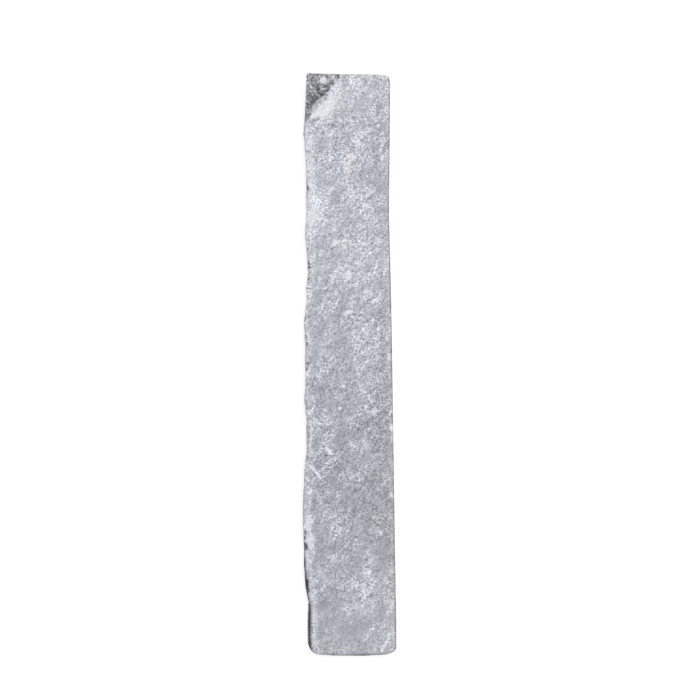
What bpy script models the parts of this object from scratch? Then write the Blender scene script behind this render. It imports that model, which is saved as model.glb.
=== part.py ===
"""A natural whetstone: one bar of schist, lying on a broad face with the honing face up.

The +X side and both ends are sawn and eased. The -X side is split rock: it is uneven in plan and
hollow between its edges, and small chips are missing from its arrises. The corner at the head end
(+Y) on the split side keeps some of the rock's own skin, which dips below the honing face.

Metres, +Z up. The origin is the middle of the bar's footprint, on the bed face.
"""

import math

import bmesh
import bpy
from mathutils import Matrix, Vector

MM = 0.001
WELD_DISTANCE = 0.01 * MM

# Driving dimensions
LENGTH = 200.0 * MM
THICKNESS = 15.0 * MM
ARRIS = 1.2 * MM
SPLIT_ARRIS_SHARE = 0.35
ARRIS_SEGMENTS = 3

# Plan outline in millimetres, X across the bar and Y along it. A corner is (x of the side, reach of
# its round along X, reach along Y).
HEAD_Y = 0.5 * LENGTH / MM
FOOT_Y = -HEAD_Y
HEAD_SKEW = 0.4
FOOT_BOW = 0.3
FOOT_FLAT_X = (-4.0, 6.0)
HEAD_SAWN_CORNER = (13.95, 1.9, 2.6)
HEAD_SPLIT_CORNER = (-15.1, 1.4, 1.35)
FOOT_SPLIT_CORNER = (-13.7, 3.8, 3.2)
FOOT_SAWN_CORNER = (16.15, 5.0, 2.4)
CORNER_STEPS = 6
CORNER_ZONE = 12.0 * MM
SAWN_SIDE = ((16.15, -88.0), (15.6, -56.0), (15.0, -14.0), (14.4, 22.0), (13.65, 52.0), (13.95, 86.0))
SPLIT_SIDE = (
    (-15.35, 90.5),
    (-15.7, 79.0),
    (-15.0, 67.0),
    (-14.85, 53.0),
    (-15.2, 43.0),
    (-14.55, 36.0),
    (-14.5, 31.0),
    (-14.95, 26.5),
    (-14.8, 22.0),
    (-15.7, 14.6),
    (-15.3, 8.5),
    (-15.2, -7.5),
    (-15.65, -12.0),
    (-14.85, -19.0),
    (-14.75, -30.0),
    (-15.5, -35.0),
    (-16.1, -50.0),
    (-16.0, -57.0),
    (-15.4, -64.0),
    (-15.5, -68.5),
    (-14.9, -76.0),
    (-13.8, -82.0),
    (-13.8, -93.0),
)

# The split side below the honing face: it leans in along most of the bar and out at the foot, and
# waves hollow it between the broad faces, as (depth, length along the bar, turn over the thickness)
SPLIT_FROM_X = -10.0 * MM
SPLIT_FULLY_X = -12.5 * MM
SPLIT_ROWS = 5
LEAN_IN = 0.6 * MM
LEAN_OUT = 0.8 * MM
LEAN_TURNS_FROM_Y = -45.0 * MM
LEAN_TURNS_TO_Y = -78.0 * MM
SPLIT_HOLLOWS = ((0.22 * MM, 38.0 * MM, 5.0), (0.14 * MM, 17.0 * MM, -7.0))

# Rock skin at the head end: where the dip starts on the honing face, and how steep it is
SKIN_START = (Vector((-4.0, 98.3, 0.0)) * MM, Vector((-14.7, 82.8, 0.0)) * MM)
SKIN_SLOPE = math.radians(4.5)
SKIN_CUTTER_SIZE = 40.0 * MM

# Chips along the split side: (place along Y, half length, bite), all in millimetres
HONING_FACE_CHIPS = (
    (79.4, 1.0, 1.0),
    (60.4, 1.5, 0.7),
    (31.6, 3.0, 0.7),
    (7.0, 1.0, 0.6),
    (-0.6, 1.8, 0.8),
    (-21.5, 3.5, 0.6),
    (-57.5, 1.0, 0.9),
    (-62.6, 1.6, 1.2),
    (-74.6, 2.2, 1.1),
    (-88.0, 5.0, 0.6),
)
BED_FACE_CHIPS = ((70.0, 4.0, 1.2), (38.0, 2.0, 0.9), (4.0, 5.0, 1.3), (-41.0, 3.0, 1.0), (-80.0, 4.5, 1.4))
CHIP_BULGE = 2.2

STONE_COLOUR = (0.45, 0.47, 0.50, 1.0)
STONE_ROUGHNESS = 0.8


def clear_scene():
    """Start from an empty file."""
    for existing in list(bpy.data.objects):
        bpy.data.objects.remove(existing, do_unlink=True)


def new_collection(name):
    """A collection of its own, linked to the scene."""
    collection = bpy.data.collections.new(name)
    bpy.context.scene.collection.children.link(collection)
    return collection


def stone_material():
    """Dull grey schist."""
    material = bpy.data.materials.new("schist")
    material.use_nodes = True
    shader = material.node_tree.nodes["Principled BSDF"]
    shader.inputs["Base Color"].default_value = STONE_COLOUR
    shader.inputs["Roughness"].default_value = STONE_ROUGHNESS
    shader.inputs["Metallic"].default_value = 0.0
    return material


def corner_arc(corner, end_y, start_angle):
    """A quarter ellipse inside the corner of a side and an end, run counter-clockwise."""
    side_x, reach_x, reach_y = corner
    centre_x = side_x - math.copysign(reach_x, side_x)
    centre_y = end_y - math.copysign(reach_y, end_y)
    points = []
    for step in range(CORNER_STEPS + 1):
        angle = start_angle + 0.5 * math.pi * step / CORNER_STEPS
        points.append((centre_x + reach_x * math.cos(angle), centre_y + reach_y * math.sin(angle)))
    return points


def outline_points():
    """The plan outline, counter-clockwise from the foot of the sawn side, in millimetres."""
    points = list(SAWN_SIDE)
    points += corner_arc(HEAD_SAWN_CORNER, HEAD_Y - HEAD_SKEW, 0.0)
    points += corner_arc(HEAD_SPLIT_CORNER, HEAD_Y, 0.5 * math.pi)
    points += list(SPLIT_SIDE)
    points += corner_arc(FOOT_SPLIT_CORNER, FOOT_Y + FOOT_BOW, math.pi)
    points += [(x, FOOT_Y) for x in FOOT_FLAT_X]
    points += corner_arc(FOOT_SAWN_CORNER, FOOT_Y + FOOT_BOW, 1.5 * math.pi)
    return points


def extruded_outline(name, points, collection):
    """The outline filled and extruded to the bar's thickness, as a closed mesh."""
    curve = bpy.data.curves.new(name, "CURVE")
    curve.dimensions = "2D"
    curve.fill_mode = "BOTH"
    curve.extrude = 0.5 * THICKNESS
    spline = curve.splines.new("POLY")
    spline.points.add(len(points) - 1)
    for point, (x, y) in zip(spline.points, points):
        point.co = (x * MM, y * MM, 0.0, 1.0)
    spline.use_cyclic_u = True
    guide = bpy.data.objects.new(name + "_outline", curve)
    guide.location.z = 0.5 * THICKNESS
    collection.objects.link(guide)
    bpy.context.view_layer.update()

    evaluated = guide.evaluated_get(bpy.context.evaluated_depsgraph_get())
    mesh = bpy.data.meshes.new_from_object(evaluated)
    mesh.transform(guide.matrix_world)
    bpy.data.objects.remove(guide, do_unlink=True)

    bar = bpy.data.objects.new(name, mesh)
    collection.objects.link(bar)
    return bar


def share_between(value, start, end):
    """0 at start, 1 at end, in proportion between them."""
    return min(max((value - start) / (end - start), 0.0), 1.0)


def split_side_offset(y, z):
    """How far the split side lies from its own upper edge along X, where plus is into the bar."""
    height = z / THICKNESS
    lean = LEAN_IN - (LEAN_IN + LEAN_OUT) * share_between(y, LEAN_TURNS_FROM_Y, LEAN_TURNS_TO_Y)
    offset = lean * (1.0 - height)
    for depth, length, turn in SPLIT_HOLLOWS:
        phase = 2.0 * math.pi * y / length + turn * height
        offset += depth * math.sin(math.pi * height) * (1.0 + math.sin(phase))
    return offset


def split_share(vertex):
    """1 on the split side, 0 on the rest of the bar."""
    return share_between(vertex.co.x, SPLIT_FROM_X, SPLIT_FULLY_X)


def is_on_split_edge(vertex):
    """True along the split side's edges, between the bar's rounded corners."""
    return vertex.co.x < SPLIT_FROM_X and abs(vertex.co.y) < 0.5 * LENGTH - CORNER_ZONE


def weld_caps(bar):
    """Close the bar, give each broad face one face, and mark how far its rim is to be eased."""
    bm = bmesh.new()
    bm.from_mesh(bar.data)
    bmesh.ops.remove_doubles(bm, verts=bm.verts, dist=WELD_DISTANCE)
    honing_cap = [face for face in bm.faces if face.normal.z > 0.9]
    bed_cap = [face for face in bm.faces if face.normal.z < -0.9]
    for cap in (honing_cap, bed_cap):
        bmesh.ops.dissolve_faces(bm, faces=cap)

    weights = bm.edges.layers.float.new("bevel_weight_edge")
    for edge in bm.edges:
        on_rim = abs(edge.verts[0].co.z - edge.verts[1].co.z) < WELD_DISTANCE
        on_split_side = all(is_on_split_edge(vertex) for vertex in edge.verts)
        if on_rim:
            edge[weights] = SPLIT_ARRIS_SHARE if on_split_side else 1.0
    bm.to_mesh(bar.data)
    bm.free()


def ease_arrises(bar):
    """Round the rims of the two broad faces by their weights."""
    bevel = bar.modifiers.new("arrises", "BEVEL")
    bevel.width = ARRIS
    bevel.segments = ARRIS_SEGMENTS
    bevel.limit_method = "WEIGHT"
    evaluated = bar.evaluated_get(bpy.context.evaluated_depsgraph_get())
    eased = bpy.data.meshes.new_from_object(evaluated)
    bar.modifiers.clear()
    bar.data = eased


def break_split_side(bar):
    """Cut the sides into rows, and move the split side's rows in and out."""
    bm = bmesh.new()
    bm.from_mesh(bar.data)
    for row in range(1, SPLIT_ROWS):
        height = Vector((0.0, 0.0, THICKNESS * row / SPLIT_ROWS))
        everything = list(bm.verts) + list(bm.edges) + list(bm.faces)
        bmesh.ops.bisect_plane(bm, geom=everything, plane_co=height, plane_no=(0.0, 0.0, 1.0))
    for vertex in bm.verts:
        vertex.co.x += split_share(vertex) * split_side_offset(vertex.co.y, vertex.co.z)
    side_faces = [face for face in bm.faces if abs(face.normal.z) < 0.99]
    bmesh.ops.triangulate(bm, faces=side_faces)
    bmesh.ops.recalc_face_normals(bm, faces=bm.faces)
    bm.to_mesh(bar.data)
    bm.free()


def new_cutter(name, bm, matrix, collection):
    """A closed cutter from a bmesh, with its transform already in its mesh."""
    bm.transform(matrix)
    mesh = bpy.data.meshes.new(name)
    bm.to_mesh(mesh)
    bm.free()
    cutter = bpy.data.objects.new(name, mesh)
    cutter.hide_render = True
    cutter.display_type = "WIRE"
    collection.objects.link(cutter)
    return cutter


def skin_cutter(collection):
    """A block whose lower face falls away from the line where the rock skin starts."""
    start, end = SKIN_START
    along = (end - start).normalized()
    outwards = Vector((along.y, -along.x, 0.0))
    down_slope = (outwards * math.cos(SKIN_SLOPE) - Vector((0.0, 0.0, math.sin(SKIN_SLOPE)))).normalized()
    upwards = down_slope.cross(along)
    axes = Matrix((down_slope, along, upwards)).transposed().to_4x4()
    middle = 0.5 * (start + end) + Vector((0.0, 0.0, THICKNESS))
    centre = middle + (down_slope + upwards) * 0.5 * SKIN_CUTTER_SIZE
    bm = bmesh.new()
    bmesh.ops.create_cube(bm, size=SKIN_CUTTER_SIZE)
    return new_cutter("skin_cutter", bm, Matrix.Translation(centre) @ axes, collection)


def split_edge_x(y):
    """Where the split side's upper edge runs in plan, in millimetres."""
    for (x_head, y_head), (x_foot, y_foot) in zip(SPLIT_SIDE, SPLIT_SIDE[1:]):
        if y_foot <= y <= y_head:
            return x_foot + (x_head - x_foot) * (y - y_foot) / (y_head - y_foot)
    return SPLIT_SIDE[0][0]


def chip_cutter(name, chip, face_z, collection):
    """A flattened ball that bites a scoop out of the split side's arris."""
    y, half_length, bite = chip
    outside = (CHIP_BULGE - 1.0) * bite * MM * math.sqrt(0.5)
    edge_x = split_edge_x(y) * MM + split_side_offset(y * MM, face_z)
    centre_z = face_z + math.copysign(outside, face_z - 0.5 * THICKNESS)
    centre = Vector((edge_x - outside, y * MM, centre_z))
    reach = CHIP_BULGE * bite * MM
    chord_share = math.sqrt(1.0 - (1.0 - 1.0 / CHIP_BULGE) ** 2)
    stretch = Matrix.Diagonal((reach, half_length * MM / chord_share, reach, 1.0))
    bm = bmesh.new()
    bmesh.ops.create_icosphere(bm, subdivisions=2, radius=1.0)
    return new_cutter(name, bm, Matrix.Translation(centre) @ stretch, collection)


def cut(bar, cutter):
    """Take a cutter out of the bar."""
    boolean = bar.modifiers.new(cutter.name, "BOOLEAN")
    boolean.operation = "DIFFERENCE"
    boolean.solver = "EXACT"
    boolean.object = cutter


def build():
    """Make the whetstone."""
    clear_scene()
    parts = new_collection("whetstone")
    cutters = new_collection("cutters")
    bar = extruded_outline("whetstone", outline_points(), parts)
    weld_caps(bar)
    ease_arrises(bar)
    break_split_side(bar)
    cut(bar, skin_cutter(cutters))
    for number, chip in enumerate(HONING_FACE_CHIPS):
        cut(bar, chip_cutter(f"honing_face_chip_{number}", chip, THICKNESS, cutters))
    for number, chip in enumerate(BED_FACE_CHIPS):
        cut(bar, chip_cutter(f"bed_face_chip_{number}", chip, 0.0, cutters))
    bar.data.materials.clear()
    bar.data.materials.append(stone_material())
    bar.data.set_sharp_from_angle(angle=math.radians(30.0))


build()
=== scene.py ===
"""The look of a natural whetstone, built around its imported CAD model.

The bar is one piece of schist. Its CAD solid is made dense here, and its surface is then worked in
mesh code: ground broad faces, sawn side and ends, a split side with broken layers, and the rock's
own skin at one corner. Numbers stored on the vertices tell one procedural material what lies where.
"""

import itertools
import math

import bpy
import numpy as np
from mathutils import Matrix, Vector


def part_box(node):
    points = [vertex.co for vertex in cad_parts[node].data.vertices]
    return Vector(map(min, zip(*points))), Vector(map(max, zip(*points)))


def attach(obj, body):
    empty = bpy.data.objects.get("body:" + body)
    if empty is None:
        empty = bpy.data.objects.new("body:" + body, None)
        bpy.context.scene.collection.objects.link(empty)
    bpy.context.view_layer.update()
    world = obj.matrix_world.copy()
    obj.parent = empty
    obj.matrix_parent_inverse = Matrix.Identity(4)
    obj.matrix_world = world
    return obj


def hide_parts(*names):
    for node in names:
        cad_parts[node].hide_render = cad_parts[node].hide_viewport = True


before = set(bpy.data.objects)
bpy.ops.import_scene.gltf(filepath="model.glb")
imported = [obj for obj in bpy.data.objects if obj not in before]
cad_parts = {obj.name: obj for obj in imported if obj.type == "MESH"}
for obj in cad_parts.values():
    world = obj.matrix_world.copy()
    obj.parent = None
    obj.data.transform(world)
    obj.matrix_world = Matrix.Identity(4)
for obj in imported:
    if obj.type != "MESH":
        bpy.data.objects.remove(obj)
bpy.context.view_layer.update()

MM = 0.001
NODE = "whetstone"
LOW, HIGH = (np.array(corner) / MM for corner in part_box(NODE))

VOXEL = 0.45 * MM
VIEW_WIDTH = 240.0 * MM
VIEW_MIDDLE = (0.24 * MM, 5.0 * MM)
VIEW_END = 20.0
LENS = 135.0
FLOOR_SIZE = 9.0
FLOOR_ALBEDO = 0.35
FLOOR_GLOW = 0.75
KEY_PLACE = (0.08, 0.10, 1.2)
KEY_SIZE = 0.25
KEY_WATTS = 9.0
SKY_LOW = 1.0
SKY_HIGH = 0.4
SKY_BRIGHT_BELOW = 0.1
SKY_DIM_ABOVE = 0.35
# What the lights above send to a level face, as a multiple of what makes white paper white
LIT = 1.1

# All places below are in millimetres from the middle of the honing face: X across, Y along, with
# the head end at high Y, the split side at low X and the sawn side at high X. Levels of grey are
# on a 255-step scale.
FULL_LEVEL = 255.0
STONE_LEVEL = 185.0
QUARTZ_LEVEL = 227.0
# Changes of level: a thin light line at the head arris, partly wear and partly a painted highlight;
# painted shade on the foot arris and on the strip that shows of the split side near the foot; the
# sides below their arrises, partly their own tone and partly painted shade; and the rock skin with a
# rim of painted shadow where the ground face steps down to it
HEAD_ARRIS_LEVEL = 7.0
FOOT_ARRIS_SHADE = -34.0
FOOT_STRIP_SHADE = -40.0
SAWN_LEVEL = -26.0
SPLIT_LEVEL = -40.0
SKIN_LEVEL = -42.0
SKIN_RIM_SHADE = -8.0

# Heights and depths of the relief
PITTING = 0.02
PORE_DEPTH = 0.07
SKIN_LUMPS = 0.22
SKIN_HOLLOWS = 0.25
CRUMBLED_ARRIS = 0.35
DULLED_ARRIS = 0.12
SAW_MARK_DEPTH = 0.018
SAW_MARK_PITCH = 1.7
SAW_MARK_DIRECTION = (0.22, 0.22, 0.97)
# Broken layers of the split side: (thickness, length of a step along the bar, depth, seed)
SPLIT_LAYERS = ((2.4, 9.0, 0.34, 31), (1.1, 5.0, 0.22, 37))
SPLIT_BUMPS = 0.22
SPLIT_GRIT = 0.06
# How far in the split side mostly lies, along the bar and at the foot, and how far out its layers
# may stand
SPLIT_SET_BACK = 0.45
SPLIT_SET_BACK_AT_FOOT = -0.05
SPLIT_STANDS_OUT = 0.2

# The vertices that give the bar's outline lie less than this below the honing face
OUTLINE_DEPTH = 2.5
# Smooth steps below the honing face, as (start, end): its own marks fade, its quartz fades, and the
# broken layers and the darker tone of the split side set in
TOP_FADES = (1.2, 2.6)
QUARTZ_FADES = (0.3, 1.6)
SPLIT_RELIEF_GROWS = (0.3, 2.4)
SPLIT_TONE_GROWS = (0.2, 1.2)
# Smooth steps towards the foot, as (start, end) from the middle: the set-back of the split side, the
# strip that shows of it and the near-black band on it, both painted shade, and the purple edge beside it
SET_BACK_CHANGES = (55.0, 66.0)
FOOT_STRIP_GROWS = (65.0, 80.0)
FOOT_SHADE_GROWS = (65.0, 68.0)
FOOT_SHADE_THINS = (78.5, 84.5)
FOOT_SHADE_ENDS = (97.5, 99.5)
PURPLE_EDGE_GROWS = (66.0, 74.0)
# Bands beside an edge of the honing face or of the skin, as (start, end, softness) from that edge
SPLIT_MARGIN = (0.7, 2.6, 0.9)
SAWN_WORN_BAND = (0.6, 1.5, 0.6)
HEAD_ARRIS = (0.3, 0.9, 0.3)
SKIN_RIM = (0.1, 0.9, 0.5)
SAWN_NEUTRAL_BAND = (0.0, 1.4, 0.6)
HEAD_NEUTRAL_BAND = (0.0, 0.9, 0.5)
PURPLE_EDGE = (-1.0, 0.9, 0.5)
# Smooth steps in one part of the normal: a face looks up, or to a side or an end
LOOKS_UP = (0.5, 0.9)
LOOKS_ASIDE = (0.3, 0.75)

# Where the ground face meets the rock's own skin, from the split side to the head end
SKIN_LINE = (
    (-15.6, 82.2), (-13.2, 85.4), (-12.4, 88.6), (-11.2, 90.2), (-8.9, 92.0), (-7.7, 93.4), (-6.2, 95.2),
    (-5.0, 96.8), (-3.9, 98.4), (-3.0, 100.0),
)
# White crystals in the skin: (x, y, half length, half width, turn from X in degrees, strength)
SKIN_CRYSTALS = (
    (-8.9, 97.7, 0.9, 1.1, 0.0, 1.3),
    (-8.9, 94.6, 1.0, 0.35, 15.0, 0.8),
    (-9.7, 94.3, 0.5, 0.4, 0.0, 0.7),
    (-6.6, 98.9, 0.5, 0.35, 0.0, 0.5),
    (-4.9, 97.9, 0.7, 0.4, 60.0, 0.6),
    (-13.6, 98.5, 0.45, 0.4, 0.0, 0.45),
    (-11.0, 98.6, 0.45, 0.35, 80.0, 0.45),
)
# Paler lumps and dark clumps in the skin, the same but ending in a change of level; near the skin
# line the dark ones are partly painted shadow where the ground face steps down to the skin
SKIN_MARKS = (
    (-6.0, 99.4, 4.0, 0.7, 0.0, 16.0),
    (-5.3, 98.5, 1.4, 0.7, 75.0, 45.0),
    (-6.7, 97.4, 0.7, 0.9, 0.0, 25.0),
    (-14.2, 98.4, 0.7, 0.5, 0.0, 25.0),
    (-11.0, 98.6, 0.8, 0.5, 80.0, 25.0),
    (-14.0, 83.6, 1.6, 1.0, 60.0, 34.0),
    (-15.0, 90.5, 3.5, 0.5, 85.0, 25.0),
    (-3.9, 98.8, 1.1, 0.5, 95.0, -20.0),
    (-7.6, 95.8, 1.6, 0.6, 25.0, -35.0),
    (-7.9, 93.6, 1.3, 0.6, 40.0, -32.0),
    (-9.4, 92.6, 1.5, 0.7, 60.0, -45.0),
    (-10.8, 94.5, 0.9, 0.7, -60.0, -45.0),
    (-12.6, 92.8, 2.2, 1.0, 0.0, -12.0),
    (-12.8, 90.3, 1.8, 0.7, 25.0, -30.0),
    (-13.9, 87.9, 2.0, 0.8, 80.0, -34.0),
    (-13.9, 85.4, 0.9, 0.6, 45.0, -42.0),
    (-14.3, 82.4, 1.0, 0.4, 10.0, -15.0),
)

# Broad patches: (x, y, half width in X, half width in Y, change of level, change of grain contrast)
PATCHES = (
    (-1.0, 90.0, 3.5, 6.0, 13.0, -0.1),
    (4.5, 95.0, 4.0, 4.0, 6.0, -0.1),
    (10.0, 86.0, 3.0, 7.0, -9.0, 0.0),
    (-13.4, 77.0, 1.6, 6.0, 14.0, 0.0),
    (-13.2, 62.0, 1.8, 8.0, 14.0, -0.15),
    (-12.2, 51.5, 2.3, 4.0, 20.0, 0.0),
    (-9.0, 67.5, 3.0, 5.0, 2.0, 0.1),
    (-2.5, 75.0, 4.0, 5.0, -2.0, 0.3),
    (9.5, 70.0, 3.5, 14.0, -8.0, 0.0),
    (-3.0, 56.0, 3.0, 8.0, -8.0, -0.25),
    (3.0, 47.0, 3.0, 4.0, 7.0, 0.1),
    (11.0, 50.0, 2.0, 9.0, -9.0, 0.0),
    (-9.0, 33.0, 4.5, 12.0, -6.0, -0.3),
    (-6.0, 25.0, 3.0, 8.0, -8.0, 0.0),
    (6.0, 31.0, 4.0, 9.0, 3.0, 0.1),
    (-5.0, 6.0, 6.5, 14.0, -5.0, -0.15),
    (5.0, 8.0, 3.6, 11.0, 10.0, 0.15),
    (11.3, 10.0, 2.4, 22.0, -6.0, 0.1),
    (11.0, -18.0, 3.2, 14.0, -10.0, 0.05),
    (-13.2, -24.0, 1.2, 9.0, 14.0, 0.0),
    (-9.0, -28.0, 2.5, 10.0, 3.0, 0.25),
    (-4.0, -35.0, 3.5, 5.0, -8.0, 0.0),
    (-11.0, -36.0, 3.5, 7.0, -6.0, 0.0),
    (3.5, -35.0, 2.5, 8.0, -8.0, 0.0),
    (-12.6, -46.0, 2.0, 4.5, 6.0, 0.1),
    (-5.5, -54.0, 5.0, 5.0, 3.0, 0.15),
    (4.5, -52.0, 5.0, 6.0, -8.0, -0.25),
    (0.8, -58.0, 3.0, 8.0, -9.0, 0.0),
    (10.0, -54.0, 3.0, 6.0, -6.0, 0.0),
    (-8.0, -78.0, 3.0, 7.0, -5.0, -0.1),
    (5.5, -73.5, 5.0, 5.0, 10.0, 0.3),
    (-2.0, -90.0, 9.0, 8.0, -2.0, -0.3),
    (4.0, -85.0, 4.0, 4.0, 3.0, -0.1),
    (14.0, -88.0, 1.6, 12.0, 9.0, -0.2),
    (13.8, -62.5, 1.8, 6.0, -16.0, -0.3),
    (11.5, -93.0, 3.0, 5.0, 6.0, 0.0),
    (0.0, -97.5, 9.0, 1.5, -2.0, 0.1),
)
# How much lighter or darker the honing face is along the bar, and how strong its grain is there
TONE_ALONG = (
    (-100.0, -3.0, 0.95), (-88.0, -3.0, 0.92), (-75.0, 0.0, 1.0), (-61.0, -8.0, 1.0), (-47.0, -14.0, 1.05),
    (-33.0, -11.0, 1.1), (-19.0, -6.0, 1.1), (-5.0, -3.0, 1.12), (10.0, 2.0, 1.15), (36.0, 7.0, 1.15),
    (63.0, 9.0, 1.2), (91.0, 9.0, 1.2),
)
# Change of level beside the two long edges: (y, margin of the split side, worn band of the sawn
# side, last thin line of the sawn side, which is painted shade where its arris turns from the light)
LONG_EDGES = (
    (-97.0, 6.0, 0.0, -44.0), (-88.0, 25.0, 0.0, -44.0), (-70.0, 17.0, -6.0, -36.0),
    (-60.0, 27.0, -2.0, -20.0), (-52.0, 32.0, 4.0, -18.0), (-44.0, 18.0, 5.0, -16.0),
    (-25.0, 4.0, 7.0, -16.0), (5.0, 5.0, 14.0, -48.0),
    (35.0, 11.0, 2.0, -38.0), (62.0, 9.0, -8.0, -48.0), (81.0, 8.0, -2.0, -52.0), (94.0, 0.0, 8.0, -50.0),
)
# Extra painted shade just above the foot arris: (x, change of level)
FOOT_LINE_SHADE = (
    (-14.0, -24.0), (-11.0, -24.0), (-8.0, -4.0), (-1.0, 0.0), (2.0, -34.0), (6.0, -36.0), (14.0, -22.0),
)

# The corner of the skin that stands out almost square: (x, y, half length, half width), and how far
SHARP_CORNER = (-14.7, 99.6, 0.9, 0.9)
SHARP_CORNER_OUT = 0.55

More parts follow.
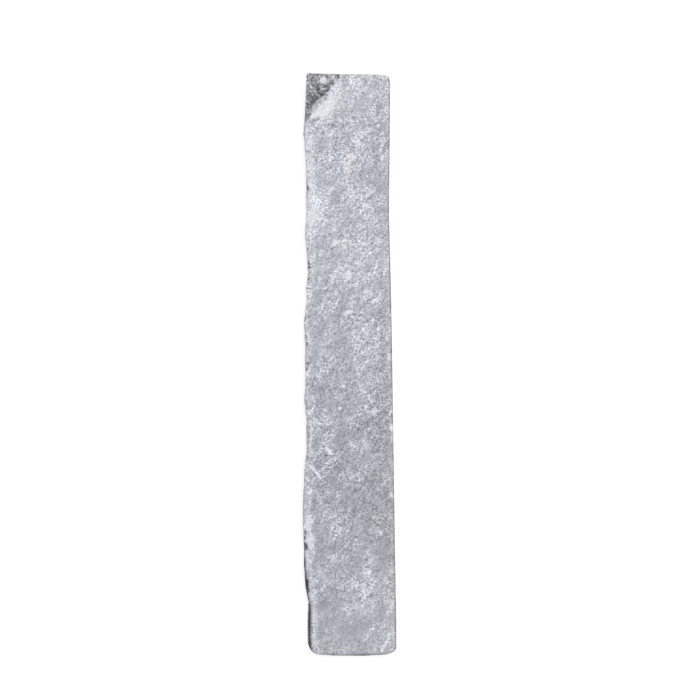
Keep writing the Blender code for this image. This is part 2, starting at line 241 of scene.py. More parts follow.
# Quartz bands, spots and scratches: (x, y, half length, half width, turn from X in degrees, strength)
PALE_MARKS = (
    # beside the skin, and down the margin of the split side
    (-8.4, 87.5, 4.0, 2.3, 38.0, 1.0),
    (-11.6, 85.7, 2.0, 0.9, 35.0, 1.0),
    (-5.4, 91.6, 3.2, 2.0, 60.0, 0.85),
    (-4.0, 95.4, 2.8, 1.3, 72.0, 0.65),
    (-7.4, 85.0, 1.8, 0.9, 15.0, 0.75),
    (-11.0, 82.2, 2.2, 0.6, 30.0, 0.5),
    (-1.4, 89.4, 2.0, 1.5, 30.0, 0.35),
    (-13.4, 78.0, 3.5, 0.8, 88.0, 0.5),
    (-12.6, 74.0, 3.0, 1.0, 80.0, 0.5),
    (-13.4, 69.0, 2.4, 1.2, 80.0, 0.8),
    (-13.4, 63.0, 2.6, 0.8, 85.0, 0.7),
    (-12.6, 56.5, 3.0, 1.4, 100.0, 0.6),
    (-12.4, 51.2, 2.8, 1.7, 70.0, 0.95),
    (-13.2, 47.0, 1.6, 0.8, 90.0, 0.7),
    (-13.2, 42.0, 1.2, 0.5, 80.0, 0.7),
    (-13.9, 40.0, 0.8, 0.7, 45.0, 0.8),
    (-13.7, 36.8, 1.0, 0.5, 80.0, 0.6),
    (-13.7, 32.4, 0.8, 0.4, 20.0, 0.8),
    (-13.8, 22.5, 2.6, 1.0, 95.0, 0.5),
    (-14.6, 14.5, 2.2, 0.6, 80.0, 0.5),
    (-13.8, 9.0, 1.3, 0.8, 90.0, 0.7),
    (-13.8, -13.0, 1.2, 0.5, 80.0, 0.7),
    (-13.6, -16.0, 0.8, 0.5, 120.0, 0.8),
    (-13.2, -22.5, 4.0, 0.45, 90.0, 0.7),
    (-13.4, -28.0, 2.0, 0.5, 90.0, 0.8),
    # the head half
    (1.2, 83.5, 0.8, 0.35, -20.0, 1.4),
    (1.9, 79.5, 0.5, 0.5, 0.0, 1.0),
    (8.8, 77.8, 0.9, 0.35, 45.0, 0.8),
    (10.6, 77.2, 0.8, 0.35, 50.0, 0.8),
    (0.4, 71.3, 1.5, 1.1, 60.0, 0.8),
    (0.4, 68.5, 1.6, 0.6, 80.0, 0.6),
    (-0.3, 66.2, 1.5, 0.9, 100.0, 0.7),
    (-2.8, 69.5, 0.9, 0.35, 0.0, 0.9),
    (11.3, 70.8, 1.0, 0.45, 70.0, 1.0),
    (6.0, 64.7, 0.5, 0.4, 0.0, 1.0),
    (-6.0, 60.3, 1.4, 0.8, 20.0, 0.7),
    (-2.2, 62.6, 1.5, 0.4, 40.0, 0.6),
    (0.4, 60.0, 0.6, 0.5, 0.0, 0.6),
    (-9.0, 55.0, 0.9, 0.5, 60.0, 0.8),
    (8.0, 53.6, 0.6, 0.5, 0.0, 0.9),
    (3.3, 52.9, 1.0, 0.3, 30.0, 0.8),
    (-2.4, 51.4, 0.6, 0.5, 0.0, 0.7),
    (0.2, 51.0, 0.6, 0.4, 0.0, 0.7),
    (5.0, 47.5, 2.0, 1.2, 20.0, 0.5),
    (1.2, 44.8, 0.6, 0.5, 0.0, 0.9),
    (-4.6, 41.7, 1.7, 0.65, 35.0, 1.2),
    (-0.6, 42.4, 2.1, 0.35, 0.0, 1.0),
    (0.4, 41.3, 1.3, 0.35, -20.0, 0.9),
    (-1.7, 40.6, 1.1, 0.5, -50.0, 1.1),
    (9.6, 39.3, 0.7, 0.5, 30.0, 0.7),
    (-10.4, 29.6, 0.8, 0.45, 90.0, 0.9),
    (-0.4, 30.6, 1.8, 1.1, 75.0, 1.0),
    (-1.4, 29.4, 0.9, 0.6, 0.0, 0.7),
    (1.6, 27.5, 1.9, 0.3, 42.0, 0.9),
    (3.0, 28.0, 1.7, 0.3, 42.0, 0.8),
    (0.2, 26.9, 1.2, 0.3, 38.0, 0.6),
    (-8.7, 26.0, 0.8, 0.4, 60.0, 0.8),
    (5.8, 25.0, 1.0, 0.7, 20.0, 1.0),
    (3.9, 26.5, 0.5, 0.4, 0.0, 0.8),
    (5.1, 22.9, 0.5, 0.5, 0.0, 1.0),
    (8.7, 22.0, 1.4, 0.65, 25.0, 1.0),
    (-3.8, 22.3, 0.5, 0.4, 0.0, 0.8),
    (-0.3, 17.8, 1.8, 0.7, 25.0, 1.1),
    (4.4, 17.7, 0.7, 0.6, 30.0, 0.8),
    (8.1, 15.2, 0.8, 0.6, 30.0, 1.0),
    (9.8, 12.6, 0.9, 0.5, 50.0, 0.6),
    # the foot half
    (1.6, 11.2, 1.2, 0.8, 50.0, 0.8),
    (3.2, 8.8, 1.2, 0.6, 90.0, 0.7),
    (-4.1, 10.6, 0.5, 0.4, 0.0, 0.9),
    (-2.0, 10.2, 2.0, 0.25, 18.0, 0.5),
    (7.0, 5.6, 0.9, 0.6, 20.0, 0.7),
    (4.4, 4.3, 0.8, 0.4, 10.0, 0.9),
    (-5.5, 2.4, 1.2, 0.35, 50.0, 0.6),
    (2.0, 1.8, 0.7, 0.4, 20.0, 0.9),
    (6.2, 1.1, 1.0, 0.5, 35.0, 1.0),
    (4.8, -0.8, 1.1, 0.4, 45.0, 0.8),
    (8.6, 0.3, 0.7, 0.4, 0.0, 0.8),
    (2.9, -3.1, 0.7, 0.4, 0.0, 0.9),
    (10.7, -3.3, 0.8, 0.5, 20.0, 0.7),
    (-1.8, -7.6, 1.0, 0.55, -25.0, 0.9),
    (6.9, -10.8, 0.8, 0.5, 90.0, 1.0),
    (7.3, -12.6, 1.1, 0.4, -50.0, 0.9),
    (-0.8, -13.0, 0.6, 0.4, 0.0, 0.7),
    (-3.3, -15.0, 0.6, 0.45, 50.0, 1.2),
    (8.6, -16.0, 1.5, 0.8, 70.0, 0.9),
    (5.8, -15.8, 0.6, 0.6, 0.0, 0.7),
    (3.0, -21.2, 0.8, 0.8, 0.0, 0.6),
    (5.4, -23.3, 0.9, 0.5, 20.0, 0.7),
    (1.4, -27.0, 1.6, 1.2, -30.0, 0.6),
    (0.8, -27.7, 0.5, 0.4, 0.0, 1.0),
    (-9.0, -26.8, 1.2, 0.8, 90.0, 0.6),
    (-7.0, -29.5, 1.6, 0.6, -48.0, 1.2),
    (-6.5, -30.6, 0.9, 0.5, 0.0, 1.0),
    (-11.3, -37.0, 3.0, 0.5, -52.0, 1.2),
    (-14.6, -39.0, 1.4, 0.4, -60.0, 0.9),
    (-1.8, -38.3, 0.6, 0.4, 0.0, 0.8),
    (8.0, -31.3, 0.5, 0.5, 0.0, 0.8),
    (14.7, -21.6, 1.3, 0.8, 90.0, 1.2),
    (14.5, -44.8, 1.1, 0.7, 100.0, 0.85),
    (-14.0, -43.0, 1.0, 0.7, 90.0, 0.7),
    (-13.6, -47.6, 1.9, 0.35, 90.0, 0.9),
    (-4.1, -45.0, 1.1, 0.35, 90.0, 0.8),
    (-7.7, -48.0, 0.6, 0.5, 60.0, 0.8),
    (-4.3, -54.8, 2.2, 0.4, 88.0, 0.8),
    (-3.1, -56.6, 0.7, 0.5, 50.0, 0.9),
    (2.2, -60.0, 0.5, 0.4, 0.0, 1.1),
    (10.6, -57.4, 0.9, 0.6, -50.0, 0.9),
    (-13.9, -54.5, 3.6, 1.1, 90.0, 0.8),
    (-13.1, -60.5, 3.0, 1.3, 90.0, 0.9),
    (-13.9, -67.0, 3.5, 1.0, 90.0, 0.5),
    (-4.8, -66.3, 1.1, 0.4, -60.0, 0.8),
    (6.8, -71.6, 1.1, 0.6, 60.0, 0.9),
    (4.5, -69.2, 1.3, 0.6, 110.0, 0.6),
    (5.0, -75.4, 1.0, 0.5, -10.0, 1.0),
    (-11.2, -74.2, 0.5, 0.4, 0.0, 0.9),
    (-11.4, -77.4, 1.0, 0.4, 100.0, 0.6),
    (-1.1, -83.4, 0.8, 0.35, 45.0, 0.9),
    (10.2, -80.5, 2.2, 0.35, -8.0, 0.6),
    (5.0, -83.8, 1.6, 0.5, 95.0, 0.5),
    (0.5, -88.5, 0.5, 0.45, 0.0, 0.9),
    (-12.2, -86.0, 4.0, 0.6, 90.0, 0.75),
    (-12.2, -93.0, 4.0, 0.6, 90.0, 0.65),
    (13.5, -92.6, 0.8, 0.6, 60.0, 1.0),
    (12.7, -95.2, 2.6, 0.5, 62.0, 1.0),
    (11.3, -97.6, 1.2, 0.6, 70.0, 1.0),
    (-10.5, -97.0, 1.2, 0.6, 0.0, 0.5),
)
# Pits and nicks: (x, y, half length, half width, turn from X in degrees, depth in millimetres). They
# are darkened with painted shade that deepens with their depth and is full from this depth on.
FULLY_DARK_DEPTH = 0.3
DARK_NICKS = (
    (8.7, 99.3, 0.6, 0.3, 0.0, 0.35),
    (-3.8, 98.7, 0.8, 0.4, 90.0, 0.3),
    (-11.3, 83.9, 1.2, 0.45, 20.0, 0.13),
    (-13.4, 79.3, 0.5, 0.45, 0.0, 0.3),
    (-14.4, 60.4, 1.3, 0.5, 100.0, 0.4),
    (-10.9, 52.3, 0.6, 0.4, 60.0, 0.1),
    (-14.4, 39.7, 0.5, 0.4, 60.0, 0.3),
    (-14.0, 34.8, 0.6, 0.4, 100.0, 0.3),
    (-13.8, 33.4, 0.6, 0.5, 0.0, 0.4),
    (-14.1, 31.5, 0.5, 0.4, 90.0, 0.3),
    (-14.2, 29.3, 0.5, 0.4, 90.0, 0.3),
    (-14.6, 7.0, 0.5, 0.4, 0.0, 0.35),
    (-14.0, 0.4, 0.5, 0.45, 90.0, 0.45),
    (-14.7, -1.6, 0.4, 0.4, 0.0, 0.35),
    (-15.0, -57.7, 0.6, 0.45, 90.0, 0.3),
    (-15.4, -59.5, 0.6, 0.3, 90.0, 0.3),
    (-15.0, -62.4, 1.1, 0.6, 110.0, 0.5),
    (-14.7, -74.6, 1.3, 0.7, 110.0, 0.45),
    (-14.3, -76.8, 1.2, 0.5, 100.0, 0.3),
    (-13.0, -88.3, 0.6, 0.4, 90.0, 0.1),
    (-13.0, -90.5, 0.7, 0.5, 90.0, 0.1),
)
# Small grains of dark mica: half length and half width, darkness beside a nick's, and places (x, y)
GRAIN_SIZE = (0.45, 0.4)
GRAIN_DARKNESS = 0.4
DARK_GRAINS = (
    (7.2, 57.0), (6.8, 55.2), (6.0, 46.7), (4.5, 24.1), (11.4, 26.3), (1.9, 30.0), (-0.3, 16.8),
    (4.1, 17.0), (0.2, -2.0), (11.6, -4.8), (9.3, -0.9), (-5.0, 8.0), (6.8, -23.3), (6.7, -20.7),
    (11.8, -23.0), (-7.7, -31.3), (7.5, -66.2), (-5.6, -62.6), (7.7, -79.0), (10.1, -70.6),
    (3.9, -75.0), (3.7, -80.0), (5.0, 82.0), (-2.5, 81.3), (-5.5, 82.0), (1.6, 84.7), (2.0, 84.0),
    (-2.9, 87.8), (-13.6, -21.0), (-14.0, -24.0), (-14.0, -27.0), (-14.0, -30.0),
)
# Faint stains that take the blue out of the grey: (x, y, half width in X, half width in Y, strength)
NEUTRAL_STAINS = (
    (-8.4, 87.3, 3.4, 2.6, 0.9),
    (-3.5, 91.0, 4.0, 4.5, 0.8),
    (-11.5, 74.0, 2.0, 4.0, 0.5),
    (0.2, 68.5, 1.6, 5.0, 0.9),
    (-13.0, 65.0, 2.0, 6.0, 0.7),
    (-12.3, 51.0, 2.2, 3.5, 0.9),
    (-1.0, 41.5, 3.0, 1.6, 0.8),
    (-12.8, 36.0, 2.0, 7.0, 0.8),
    (-13.8, 19.0, 1.6, 7.0, 0.9),
    (-13.6, 4.0, 1.5, 8.0, 0.9),
    (8.2, 19.5, 1.6, 1.2, 0.7),
    (-13.6, -25.0, 1.2, 12.0, 0.9),
    (9.5, -38.0, 4.0, 3.5, 0.5),
    (10.0, -53.5, 4.0, 3.5, 0.7),
    (14.2, -40.0, 1.4, 4.0, 0.8),
    (14.2, -62.0, 1.8, 7.0, 0.9),
    (14.6, -84.0, 1.6, 14.0, 0.8),
    (-10.5, -47.5, 1.2, 2.5, 0.5),
    (-12.0, -63.0, 1.2, 6.0, 0.7),
    (-11.6, -80.0, 1.4, 9.0, 0.6),
    (-8.5, -96.5, 3.5, 1.6, 0.8),
    (14.0, -97.0, 2.0, 1.6, 0.8),
)
# Faint purple stains, the same way
PURPLE_STAINS = (
    (-12.6, -59.0, 0.9, 2.8, 0.7),
    (-10.6, -86.0, 0.8, 2.4, 0.7),
    (-14.0, -67.0, 0.7, 4.0, 0.5),
)


# ---------------------------------------------------------------- repeatable noise, in millimetres

def lattice_value(cells, seed):
    """A repeatable number from 0 to 1 for each whole-numbered cell."""
    mixed = cells @ np.array((374761393, 668265263, 1440662683)) + seed * 974634777
    mixed = (mixed ^ (mixed >> 13)) * 1274126177 & 0xFFFFFFFF
    return ((mixed ^ (mixed >> 16)) & 0xFFFF) / 0xFFFF


def smooth_noise(points, size, seed):
    """Noise from -1 to 1 whose bumps are about `size` across; size may differ by axis."""
    scaled = points / np.asarray(size, float)
    cells = np.floor(scaled).astype(np.int64)
    part = scaled - cells
    part = part * part * (3.0 - 2.0 * part)
    total = np.zeros(len(points))
    for corner in itertools.product((0, 1), repeat=3):
        share = np.where(corner, part, 1.0 - part).prod(axis=1)
        total += share * lattice_value(cells + corner, seed)
    return 2.0 * total - 1.0


def rough_noise(points, size, octaves, seed):
    """Smooth noise with finer and weaker bumps added to it."""
    size = np.asarray(size, float)
    total = np.zeros(len(points))
    for octave in range(octaves):
        total += smooth_noise(points, size / 2.0**octave, seed + octave) / 2.0**octave
    return total


def step_up(values, start, end):
    """0 before start, 1 after end, and smooth between."""
    part = np.clip((values - start) / (end - start), 0.0, 1.0)
    return part * part * (3.0 - 2.0 * part)


def band(values, start, end, soft):
    """1 between start and end, falling to 0 over the distance `soft` outside them."""
    return step_up(values, start - soft, start) * (1.0 - step_up(values, end, end + soft))


def oval(points, x, y, half_length, half_width, turn=0.0):
    """1 in the middle of an oval on the honing face, 0 well outside it."""
    turn = math.radians(turn)
    along = (points[:, 0] - x) * math.cos(turn) + (points[:, 1] - y) * math.sin(turn)
    across = (points[:, 1] - y) * math.cos(turn) - (points[:, 0] - x) * math.sin(turn)
    return np.exp(-((along / half_length) ** 2) - (across / half_width) ** 2)


def flat_oval(points, x, y, half_length, half_width, turn, strength):
    """An oval with a level middle and a short fall at its edge."""
    return strength * np.minimum(1.9 * oval(points, x, y, half_length, half_width, turn), 1.0)


# ---------------------------------------------------------------- the dense stone

def dense_copy(node):
    """The CAD solid as a new mesh of even small faces."""
    coarse = bpy.data.objects.new("coarse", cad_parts[node].data.copy())
    bpy.context.scene.collection.objects.link(coarse)
    remesh = coarse.modifiers.new("even faces", "REMESH")
    remesh.mode = "VOXEL"
    remesh.voxel_size = VOXEL
    soften = coarse.modifiers.new("soften", "SMOOTH")
    soften.factor = 0.5
    soften.iterations = 2
    evaluated = coarse.evaluated_get(bpy.context.evaluated_depsgraph_get())
    mesh = bpy.data.meshes.new_from_object(evaluated)
    bpy.data.objects.remove(coarse)
    mesh.materials.clear()
    mesh.shade_smooth()
    stone = bpy.data.objects.new("schist_bar", mesh)
    bpy.context.scene.collection.objects.link(stone)
    return stone


def read_vectors(values, name):
    """A mesh's vertex vectors as an array of rows."""
    rows = np.empty(3 * len(values))
    values.foreach_get(name, rows)
    return rows.reshape(-1, 3)


def edge_along(points, chosen, find):
    """The lowest or highest X of the chosen vertices at each vertex's place along the bar."""
    stations = np.arange(LOW[1], HIGH[1] + 1.0, 1.0)
    nearest = np.clip(np.round(points[:, 1] - LOW[1]).astype(int), 0, len(stations) - 1)
    extreme = np.full(len(stations), -np.inf if find is np.maximum else np.inf)
    find.at(extreme, nearest[chosen], points[chosen, 0])
    return np.interp(points[:, 1], stations, extreme)


class Regions:
    """Where each finish of the stone lies, as one number for each vertex."""

    def __init__(self, points, normals):
        x, y, z = points.T
        nx, ny, nz = normals.T
        top = z > HIGH[2] - OUTLINE_DEPTH
        self.from_split = x - edge_along(points, top, np.minimum)
        self.to_sawn = edge_along(points, top, np.maximum) - x
        self.to_head = HIGH[1] - y
        self.to_foot = y - LOW[1]
        self.below_top = HIGH[2] - z
        self.up = step_up(nz, *LOOKS_UP)
        self.top = 1.0 - step_up(self.below_top, *TOP_FADES)
        self.split = step_up(-nx, *LOOKS_ASIDE) * step_up(-x, 10.0, 12.5)
        self.sawn = step_up(nx, *LOOKS_ASIDE)
        self.ends = step_up(np.abs(ny), *LOOKS_ASIDE)
        self.arris = step_up(1.0 - np.abs(normals).max(axis=1), 0.01, 0.16)
        line = np.array(SKIN_LINE)
        ragged = 0.45 * rough_noise(points, 1.8, 3, 11)
        beyond_line = 0.7 * (y - np.interp(x, line[:, 0], line[:, 1]))
        self.inside_skin = beyond_line + ragged - 0.5 * self.below_top
        self.inside_skin[x > line[-1, 0] + 0.8] = -5.0
        self.skin = step_up(self.inside_skin, -0.3, 0.3)


def split_relief(points):
    """How far the broken layers of the split side stand out, in millimetres."""
    y, z = points[:, 1], points[:, 2]
    bent_z = z + 0.5 * smooth_noise(points, (9.0, 11.0, 40.0), 21)
    relief = np.zeros(len(points))
    for layer_height, run, depth, seed in SPLIT_LAYERS:
        layer = np.floor(bent_z / layer_height)
        flat = np.column_stack((7.3 * layer, y, np.zeros_like(y)))
        relief += depth * (2.0 * step_up(smooth_noise(flat, (1.0, run, 1.0), seed), -0.18, 0.18) - 1.0)
    relief += SPLIT_BUMPS * rough_noise(points, 4.5, 3, 41)
    relief += SPLIT_GRIT * rough_noise(points, 0.9, 2, 45)
    set_back = SPLIT_SET_BACK + (SPLIT_SET_BACK_AT_FOOT - SPLIT_SET_BACK) * step_up(-y, *SET_BACK_CHANGES)
    return np.minimum(relief - set_back, SPLIT_STANDS_OUT)


def surface_relief(points, regions):
    """How far each vertex moves out along its normal, in millimetres."""
    ground = -PITTING * np.abs(rough_noise(points, 2.0, 2, 51))
    pores = -PORE_DEPTH * step_up(smooth_noise(points, 0.9, 55), 0.62, 0.85)
    relief = (ground + pores) * (1.0 - regions.skin)
    below_edge = step_up(regions.below_top, *SPLIT_RELIEF_GROWS)
    relief += regions.split * split_relief(points) * below_edge
    lumps = SKIN_LUMPS * rough_noise(points, 2.2, 3, 61)
    hollows = -SKIN_HOLLOWS * step_up(smooth_noise(points, 1.5, 65), 0.2, 0.7)
    relief += regions.skin * (lumps + hollows) * (0.25 + 0.75 * regions.up)
    crumbled = step_up(rough_noise(points, (2.0, 2.6, 2.0), 2, 71), 0.05, 0.9)
    near_split_arris = np.exp(-np.clip(regions.from_split, 0.0, None) / 0.8) * regions.arris * regions.top
    relief -= CRUMBLED_ARRIS * crumbled * near_split_arris
    dull = np.exp(-np.clip(regions.to_sawn, 0.0, None) / 0.9) * regions.arris
    relief -= DULLED_ARRIS * dull * step_up(rough_noise(points, (1.6, 2.2, 1.6), 2, 75), 0.0, 0.9)
    for nick_x, nick_y, half_length, half_width, turn, depth in DARK_NICKS:
        relief -= depth * oval(points, nick_x, nick_y, half_length, half_width, turn) * regions.top
    relief += SHARP_CORNER_OUT * oval(points, *SHARP_CORNER) * (1.0 - regions.up) * regions.top
    saw_phase = 2.0 * math.pi * (points @ np.array(SAW_MARK_DIRECTION)) / SAW_MARK_PITCH
    saw_marks = SAW_MARK_DEPTH * np.sin(saw_phase + 1.5 * smooth_noise(points, 9.0, 81))
    relief += saw_marks * np.clip(regions.sawn + regions.ends, 0.0, 1.0)
    return relief


def shade_level(points, regions):
    """The stone's smooth change of grey level at each vertex, with painted shade and a painted highlight
    along some edges.
    """
    x, y = points[:, 0], points[:, 1]
    lumpy = 0.5 + 0.5 * smooth_noise(points, (2.0, 1.5, 4.0), 85)
    level = np.interp(y, *np.transpose(TONE_ALONG)[:2])
    for patch_x, patch_y, half_x, half_y, change, _ in PATCHES:
        level += change * oval(points, patch_x, patch_y, half_x, half_y) * regions.top
    stations, margin, worn_band, edge_shade = np.transpose(LONG_EDGES)
    margin_share = band(regions.from_split, *SPLIT_MARGIN) * (0.6 + 0.8 * lumpy)
    band_share = band(regions.to_sawn, *SAWN_WORN_BAND) * (0.4 + 1.2 * lumpy)
    edges = np.interp(y, stations, margin) * margin_share
    edges += np.interp(y, stations, worn_band) * band_share
    # a thin line of painted shade along the sawn arris, where it turns away from the light
    edges += np.interp(y, stations, edge_shade) * (1.0 - step_up(regions.to_sawn, 0.2, 0.6))
    # a light line along the head arris, partly wear and partly a painted highlight
    edges += HEAD_ARRIS_LEVEL * band(regions.to_head, *HEAD_ARRIS)
    # painted shade along the foot arris and just above it
    edges += FOOT_ARRIS_SHADE * (1.0 - step_up(regions.to_foot, 0.3, 0.9))
    edges += np.interp(x, *np.transpose(FOOT_LINE_SHADE)) * (1.0 - step_up(regions.to_foot, 0.2, 1.9))
    # painted shade on the strip beside the split arris near the foot, where the split side shows
    foot_strip_shade = (1.0 - step_up(regions.from_split, 0.5, 1.4)) * step_up(-y, *FOOT_STRIP_GROWS)
    edges += FOOT_STRIP_SHADE * foot_strip_shade
    level += edges * regions.top
    # the sides, where grinding never reached: partly their own darker tone, partly painted shade of
    # faces turned away from the light above
    level += SAWN_LEVEL * np.clip(regions.sawn + 0.6 * regions.ends, 0.0, 1.0) * (1.0 - regions.top)
    level += SPLIT_LEVEL * regions.split * step_up(regions.below_top, *SPLIT_TONE_GROWS)
    # the rock's own skin, with a rim of painted shadow along its line where the ground face steps down
    skin_level = SKIN_LEVEL + SKIN_RIM_SHADE * band(regions.inside_skin, *SKIN_RIM)
    for mark_x, mark_y, half_length, half_width, turn, change in SKIN_MARKS:
        skin_level += change * oval(points, mark_x, mark_y, half_length, half_width, turn)
    return level + regions.skin * skin_level


def split_foot_shade_share(points, regions):
    """Painted shade where the split side is almost black, just below its arris near the foot, from 0 to 1.
    """
    y = points[:, 1]
    ragged = rough_noise(points, (2.5, 3.5, 1.6), 3, 91)
    near_foot = step_up(-y, *FOOT_SHADE_GROWS) * (1.0 - 0.35 * band(-y, *FOOT_SHADE_THINS, 1.0))
    upper_part = 1.0 - step_up(regions.below_top + 1.6 * ragged, 2.5, 8.0)
    beside_arris = 1.0 - step_up(regions.from_split, 0.1, 0.55)
    return near_foot * upper_part * beside_arris * (1.0 - step_up(-y, *FOOT_SHADE_ENDS))


def stain_share(points, stains):
    """The strongest of some soft stains at each vertex."""
    share = np.zeros(len(points))
    for x, y, half_x, half_y, strength in stains:
        share = np.maximum(share, strength * oval(points, x, y, half_x, half_y))
    return share


def pale_share(points, regions):
    """How much white quartz lies at each vertex."""
    pale = np.zeros(len(points))
    for mark in PALE_MARKS:
        pale = np.maximum(pale, flat_oval(points, *mark))
    pale *= (1.0 - regions.skin) * (1.0 - step_up(regions.below_top, *QUARTZ_FADES))
    for crystal in SKIN_CRYSTALS:
        pale = np.maximum(pale, flat_oval(points, *crystal))
    return pale * regions.top


def dark_share(points, regions):
    """Painted shade in nicks and on the split side near the foot, and dark mica grains, from 0 to 1."""
    nicks = np.zeros(len(points))
    for x, y, half_length, half_width, turn, depth in DARK_NICKS:
        shade = min(depth / FULLY_DARK_DEPTH, 1.0)
        nicks = np.maximum(nicks, shade * oval(points, x, y, half_length, half_width, turn))
    for x, y in DARK_GRAINS:
        nicks = np.maximum(nicks, GRAIN_DARKNESS * oval(points, x, y, *GRAIN_SIZE))
    return np.maximum(nicks * regions.top, split_foot_shade_share(points, regions))


def grain_contrast(points, regions):
    """How strong the salt-and-pepper grain is at each vertex."""
    contrast = np.interp(points[:, 1], *np.transpose(TONE_ALONG)[::2]) - 0.25 * regions.skin
    for x, y, half_x, half_y, _, change in PATCHES:
        contrast += change * oval(points, x, y, half_x, half_y)
    return contrast


def neutral_share(points, regions):
    """Where the grey has little blue in it: worn arrises, skin, sawn faces and stains."""
    worn = band(regions.to_sawn, *SAWN_NEUTRAL_BAND) + band(regions.to_head, *HEAD_NEUTRAL_BAND)
    neutral = 0.8 * worn + 0.9 * regions.skin + 0.5 * regions.ends + 0.5 * regions.sawn
    return np.clip(np.maximum(neutral, stain_share(points, NEUTRAL_STAINS)), 0.0, 1.0)


def purple_share(points, regions):
    """Where the grey is faintly purple: beside the dark strip at the foot, and stains."""
    beside_strip = band(regions.from_split, *PURPLE_EDGE) * step_up(-points[:, 1], *PURPLE_EDGE_GROWS)
    return np.maximum(beside_strip, stain_share(points, PURPLE_STAINS))


def work_stone(stone):
    """Give the dense bar its surface, and the numbers that its material reads."""
    mesh = stone.data
    points = read_vectors(mesh.vertices, "co") / MM
    normals = read_vectors(mesh.vertex_normals, "vector")
    regions = Regions(points, normals)
    worked = (points + normals * surface_relief(points, regions)[:, None]) * MM
    mesh.vertices.foreach_set("co", worked.ravel())
    mesh.update()

    below = 1.0 - regions.top
    numbers = {
        "level": shade_level(points, regions) / FULL_LEVEL,
        "pale": pale_share(points, regions),
        "dark": dark_share(points, regions),
        "contrast": grain_contrast(points, regions),
        "neutral": neutral_share(points, regions),
        "purple": purple_share(points, regions),
        "skin": regions.skin,
        "sides": np.clip(regions.split + regions.sawn + regions.ends, 0.0, 1.0) * below,
        "split": regions.split * below,
    }
    for name, values in numbers.items():
        layer = mesh.attributes.new(name, "FLOAT", "POINT")
        layer.data.foreach_set("value", values.astype(np.float32))


# ---------------------------------------------------------------- material

RAMP_LEVELS = (20.0, 60.0, 90.0, 120.0, 150.0, 175.0, 200.0, 225.0, 255.0)
# How many levels red, green and blue lie off a neutral grey in the blue-grey stone, and how much of
# that is left where the stone is more neutral
BLUE_GREY = (-3.2, 0.0, 7.8)
BLUE_LEFT = 0.45
PURPLE_TINT = (1.03, 0.98, 1.05, 1.0)
SKIN_BROWN_TINT = (1.03, 0.98, 1.01, 1.0)
SKIN_GREEN_TINT = (0.985, 1.01, 0.96, 1.0)
BUMP_STRENGTH = 0.5
BUMP_HEIGHT = 0.12 * MM


def grey(level, blue):
    """The surface colour that looks like this level under the studio light."""
    linear = []
    for offset in BLUE_GREY:
        share = (level + offset * blue) / FULL_LEVEL
        linear.append((((share + 0.055) / 1.055) ** 2.4) / LIT)
    return (*linear, 1.0)


class Shader:
    """One material's nodes, with a short call for each kind that it uses."""

    def __init__(self, name):
        self.material = bpy.data.materials.new(name)
        self.material.use_nodes = True
        self.tree = self.material.node_tree
        self.principled = self.tree.nodes["Principled BSDF"]

    def feed(self, socket, value):
        """Link a socket, or set its value."""
        if isinstance(value, bpy.types.NodeSocket):
            self.tree.links.new(value, socket)
        else:
            socket.default_value = value

    def node(self, kind, inputs, **settings):
        """A new node with its settings and its inputs."""
        made = self.tree.nodes.new("ShaderNode" + kind)
        for name, value in settings.items():
            setattr(made, name, value)
        for socket, value in inputs.items():
            self.feed(made.inputs[socket], value)
        return made

    def math(self, operation, first, second=0.0):
        """One arithmetic step on two values."""
        return self.node("Math", {0: first, 1: second}, operation=operation).outputs[0]

    def add(self, *values):
        """The total of some values."""
        total = values[0]
        for value in values[1:]:
            total = self.math("ADD", total, value)
        return total

    def times(self, first, second):
        """The product of two values."""
        return self.math("MULTIPLY", first, second)

    def spread(self, value, start, end, low=0.0, high=1.0, smooth=False):
        """Map start..end to low..high."""
        kind = "SMOOTHSTEP" if smooth else "LINEAR"
        inputs = {"Value": value, "From Min": start, "From Max": end, "To Min": low, "To Max": high}
        return self.node("MapRange", inputs, interpolation_type=kind).outputs[0]

    def noise(self, place, scale, detail=2.0, roughness=0.5):
        """Noise from 0 to 1; the scale is in bumps per millimetre."""
        inputs = {"Vector": place, "Scale": scale, "Detail": detail, "Roughness": roughness}
        return self.node("TexNoise", inputs).outputs["Fac"]

    def stretched(self, place, factors, turn=0.0):
        """The place turned about Z, then scaled along each axis."""
        turned = self.node("VectorRotate", {"Vector": place, "Angle": math.radians(turn)}).outputs[0]
        return self.node("VectorMath", {0: turned, 1: factors}, operation="MULTIPLY").outputs[0]

    def stored(self, name):
        """A number stored on the mesh."""
        return self.node("Attribute", {}, attribute_name=name).outputs["Fac"]

    def mix(self, factor, first, second, blend="MIX"):
        """Two colours mixed or multiplied."""
        inputs = {0: factor, 1: first, 2: second}
        return self.node("MixRGB", inputs, blend_type=blend).outputs[0]

    def ramp(self, value, blue):
        """Grey levels as colours, blue-grey or neutral."""
        made = self.node("ValToRGB", {0: value})
        elements = made.color_ramp.elements
        for element, level in ((elements[0], RAMP_LEVELS[0]), (elements[1], RAMP_LEVELS[-1])):
            element.position = level / FULL_LEVEL
            element.color = grey(level, blue)
        for level in RAMP_LEVELS[1:-1]:
            elements.new(level / FULL_LEVEL).color = grey(level, blue)
        return made.outputs[0]


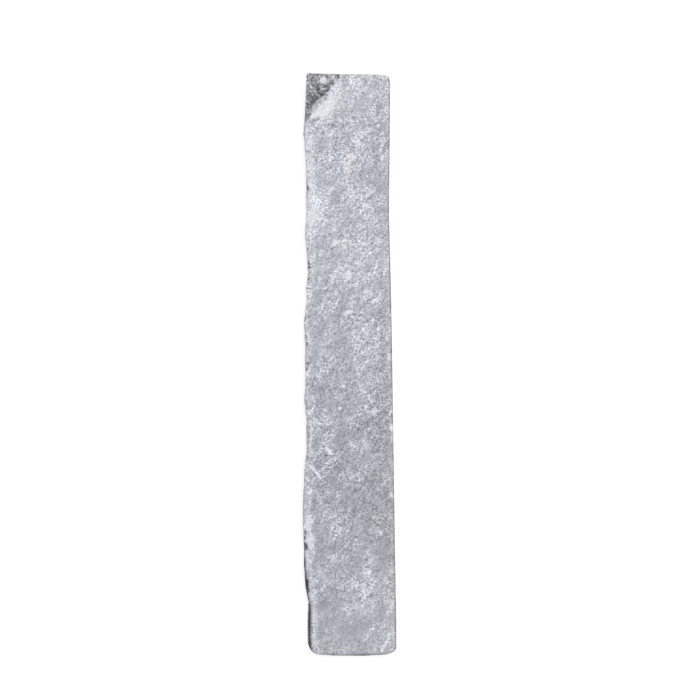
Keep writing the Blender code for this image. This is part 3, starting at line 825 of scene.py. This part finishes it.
def ground_level(s, leaning, fine, grain):
    """Level of the ground stone: grain, mottling, broad clouds and clusters of pale grains."""
    mottle = s.noise(leaning, 0.26, 2.0, 0.55)
    clouds = s.noise(leaning, 0.08, 2.0, 0.5)
    contrast = s.times(s.stored("contrast"), s.spread(mottle, 0.35, 0.65, 0.65, 1.35))
    clusters = s.times(
        s.spread(s.noise(leaning, 0.42, 2.0, 0.5), 0.54, 0.70, 0.0, 1.0, True),
        s.spread(fine, 0.40, 0.60, 0.0, 0.05),
    )
    return s.add(
        s.times(grain, contrast),
        s.spread(mottle, 0.0, 1.0, -0.13, 0.13),
        s.spread(clouds, 0.0, 1.0, -0.07, 0.07),
        clusters,
        s.stored("level"),
        STONE_LEVEL / FULL_LEVEL,
    )


def skin_change(s, mm):
    """Pale speckles and dark clumps of the rock skin, as a change of level."""
    speckles = s.spread(s.noise(mm, 1.05, 1.5, 0.5), 0.46, 0.62, -0.08, 0.15)
    clumps = s.spread(s.noise(mm, 0.42, 2.0, 0.5), 0.38, 0.56, -0.06, 0.03)
    return s.times(s.stored("skin"), s.add(speckles, clumps))


def quartz_share(s, fine):
    """How much quartz shows, with its edge broken up by the grain."""
    pale = s.stored("pale")
    ragged = s.spread(s.add(pale, s.spread(fine, 0.3, 0.7, -0.25, 0.25)), 0.15, 0.85, 0.0, 1.0, True)
    return s.math("MINIMUM", s.times(ragged, pale), 1.0)


def side_changes(s, mm):
    """Thin layers on all the sides, and blotches on the split one, as changes of level."""
    laminae = s.noise(s.stretched(mm, (0.05, 0.05, 1.0)), 1.3, 3.0, 0.6)
    layers = s.times(s.stored("sides"), s.spread(laminae, 0.3, 0.7, -0.08, 0.06))
    blotches = s.spread(s.noise(mm, 0.28, 3.0, 0.6), 0.35, 0.65, -0.16, 0.06)
    return layers, s.times(s.stored("split"), blotches)


def schist_level(s, mm, fine):
    """Grey level of the whole surface, from 0 to 1."""
    leaning = s.stretched(mm, (1.0, 0.45, 1.0), 35.0)
    streaks = s.noise(leaning, 0.75, 2.0, 0.5)
    grain = s.add(
        s.spread(fine, 0.0, 1.0, -0.32, 0.32),
        s.spread(fine, 0.28, 0.44, -0.04, 0.0),
        s.spread(streaks, 0.0, 1.0, -0.15, 0.15),
    )
    level = s.add(ground_level(s, leaning, fine, grain), skin_change(s, mm))
    quartz = s.add(s.times(grain, 0.4), QUARTZ_LEVEL / FULL_LEVEL)
    level = s.add(level, s.times(quartz_share(s, fine), s.math("SUBTRACT", quartz, level)))
    # painted shade in nicks and near the foot of the split side, and dark mica grains
    level = s.add(level, s.times(s.stored("dark"), s.spread(fine, 0.35, 0.65, -0.50, -0.34)))
    return s.add(level, *side_changes(s, mm))


def schist_colour(s, mm, level):
    """Grey levels as colours: blue-grey, neutral or purple in places, brown and green on the skin."""
    colour = s.mix(s.stored("neutral"), s.ramp(level, 1.0), s.ramp(level, BLUE_LEFT))
    colour = s.mix(s.stored("purple"), colour, PURPLE_TINT, "MULTIPLY")
    brown_or_green = s.spread(s.noise(mm, 0.5, 1.0, 0.5), 0.4, 0.6)
    skin_tint = s.mix(brown_or_green, SKIN_BROWN_TINT, SKIN_GREEN_TINT)
    tinted = s.times(s.stored("skin"), s.spread(s.stored("pale"), 0.2, 0.9, 1.0, 0.3))
    return s.mix(tinted, colour, skin_tint, "MULTIPLY")


def schist_material():
    """Blue-grey schist: salt-and-pepper grain, pale quartz, dark skin, worn arrises, and painted shade and
    highlight along some edges, in nicks and on the sides.
    """
    s = Shader("schist")
    place = s.node("TexCoord", {}).outputs["Object"]
    mm = s.node("VectorMath", {0: place, "Scale": 1.0 / MM}, operation="SCALE").outputs[0]
    fine = s.noise(mm, 1.55, 1.5, 0.6)
    skin = s.stored("skin")
    s.feed(s.principled.inputs["Base Color"], schist_colour(s, mm, schist_level(s, mm, fine)))
    roughness = s.spread(s.add(fine, s.times(skin, 0.3)), 0.2, 0.9, 0.62, 0.88)
    s.feed(s.principled.inputs["Roughness"], roughness)
    crust = s.times(skin, s.spread(s.noise(mm, 1.6, 3.0, 0.6), 0.0, 1.0, 0.0, 1.2))
    height = s.add(s.times(fine, 0.6), crust)
    bump = s.node("Bump", {"Height": height, "Strength": BUMP_STRENGTH, "Distance": BUMP_HEIGHT})
    s.feed(s.principled.inputs["Normal"], bump.outputs[0])
    return s.material


# ---------------------------------------------------------------- studio

def add_camera():
    """Straight above the honing face, with a long lens."""
    camera = bpy.data.objects.new("camera", bpy.data.cameras.new("camera"))
    camera.data.lens = LENS
    distance = VIEW_WIDTH * LENS / camera.data.sensor_width
    camera.location = (*VIEW_MIDDLE, HIGH[2] * MM + distance)
    camera.data.clip_end = VIEW_END
    bpy.context.scene.collection.objects.link(camera)
    bpy.context.scene.camera = camera


def add_stage():
    """A white table top that glows, so that shadows on it stay faint."""
    bpy.ops.mesh.primitive_plane_add(size=FLOOR_SIZE)
    floor = bpy.context.object
    floor.name = "floor"
    material = bpy.data.materials.new("glowing white")
    material.use_nodes = True
    shader = material.node_tree.nodes["Principled BSDF"]
    shader.inputs["Base Color"].default_value = (FLOOR_ALBEDO, FLOOR_ALBEDO, FLOOR_ALBEDO, 1.0)
    shader.inputs["Roughness"].default_value = 0.9
    shader.inputs["Emission Color"].default_value = (1.0, 1.0, 1.0, 1.0)
    shader.inputs["Emission Strength"].default_value = FLOOR_GLOW
    floor.data.materials.append(material)


def add_lights():
    """One soft light above, and a pale sky that is brightest near the floor."""
    key = bpy.data.objects.new("key", bpy.data.lights.new("key", "AREA"))
    key.data.size = KEY_SIZE
    key.data.energy = KEY_WATTS
    key.location = KEY_PLACE
    key.rotation_mode = "QUATERNION"
    key.rotation_quaternion = Vector(KEY_PLACE).to_track_quat("Z", "Y")
    bpy.context.scene.collection.objects.link(key)

    world = bpy.data.worlds.new("sky")
    bpy.context.scene.world = world
    world.use_nodes = True
    nodes, links = world.node_tree.nodes, world.node_tree.links
    height = nodes.new("ShaderNodeSeparateXYZ")
    links.new(nodes.new("ShaderNodeTexCoord").outputs["Generated"], height.inputs[0])
    fade = nodes.new("ShaderNodeMapRange")
    fade.inputs["From Min"].default_value = SKY_BRIGHT_BELOW
    fade.inputs["From Max"].default_value = SKY_DIM_ABOVE
    fade.inputs["To Min"].default_value = SKY_LOW
    fade.inputs["To Max"].default_value = SKY_HIGH
    links.new(height.outputs["Z"], fade.inputs["Value"])
    sky = nodes["Background"]
    sky.inputs["Color"].default_value = (1.0, 1.0, 1.0, 1.0)
    links.new(fade.outputs[0], sky.inputs["Strength"])
    bpy.context.scene.view_settings.view_transform = "Standard"


stone = dense_copy(NODE)
work_stone(stone)
stone.data.materials.append(schist_material())
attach(stone, "root")
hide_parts(NODE)
add_camera()
add_stage()
add_lights()
